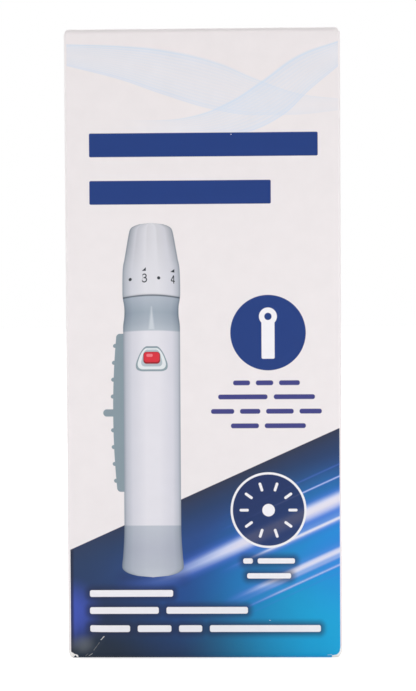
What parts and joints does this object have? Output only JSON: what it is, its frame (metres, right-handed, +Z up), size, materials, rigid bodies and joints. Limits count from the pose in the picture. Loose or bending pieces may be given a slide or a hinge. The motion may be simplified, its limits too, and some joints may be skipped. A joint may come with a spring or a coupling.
{
  "type": "tuck-end folding carton",
  "caption": "Upright printed paperboard carton; tuck flaps hinged on the front panel close its top and base over dust flaps. Packs a small pen-shaped device.",
  "frame": {"origin": "middle of the base, on the surface that the carton stands on", "axes": "+Z up along the height, -Y out of the printed front panel, +X to the right seen from the front"},
  "size_m": [0.057, 0.03, 0.1305],
  "materials": {
    "printed_board": "satin varnish",
    "white_board": "satin varnish"
  },
  "bodies": {
    "sleeve": {"carton_sleeve": "printed_board"},
    "top_flap": {"top_tuck_flap": "white_board"},
    "bottom_flap": {"bottom_tuck_flap": "white_board"}
  },
  "joints": [
    {"name": "top_flap_crease", "type": "hinge", "parent": "sleeve", "child": "top_flap", "pos_m": [0, -0.01468, 0.13018], "axis": [1, 0, 0], "range_deg": [0, 170]},
    {"name": "bottom_flap_crease", "type": "hinge", "parent": "sleeve", "child": "bottom_flap", "pos_m": [0, -0.01468, 0.00032], "axis": [-1, 0, 0], "range_deg": [0, 170]}
  ]
}
